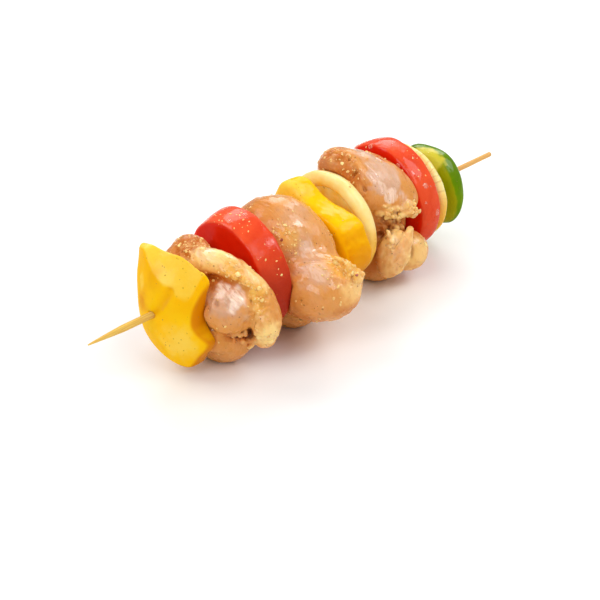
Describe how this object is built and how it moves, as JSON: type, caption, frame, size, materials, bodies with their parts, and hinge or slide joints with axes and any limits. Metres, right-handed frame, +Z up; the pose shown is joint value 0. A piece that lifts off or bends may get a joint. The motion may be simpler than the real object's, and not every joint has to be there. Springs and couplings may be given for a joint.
{
  "type": "chicken kebab skewer",
  "caption": "Marinated chicken and bell pepper kebab with onion, threaded on a pointed bamboo stick and lying on its side.",
  "frame": {"origin": "middle of the kebab's footprint, on the surface that it lies on", "axes": "+X along the stick from its point towards its blunt end, +Z up"},
  "size_m": [0.2, 0.067, 0.0499],
  "materials": {
    "bamboo": "bare split bamboo, matt",
    "yellow_pepper": "glossy raw yellow pepper skin, wet paler flesh at the cuts",
    "red_pepper": "glossy raw red pepper skin with drops of marinade",
    "green_pepper": "glossy raw green pepper skin, pale green flesh at the cut",
    "onion": "moist translucent onion stained by the marinade",
    "chicken": "moist raw chicken in an oily marinade of golden and brown spices"
  },
  "bodies": {
    "root": {"bamboo_stick": "bamboo", "yellow_pepper_front": "yellow_pepper", "chicken_front": "chicken", "red_pepper_front": "red_pepper", "chicken_middle": "chicken", "yellow_pepper_middle": "yellow_pepper", "onion_middle_inner": "onion", "onion_middle_outer": "onion", "chicken_back": "chicken", "red_pepper_back": "red_pepper", "onion_back": "onion", "green_pepper_back": "green_pepper"}
  },
  "joints": []
}
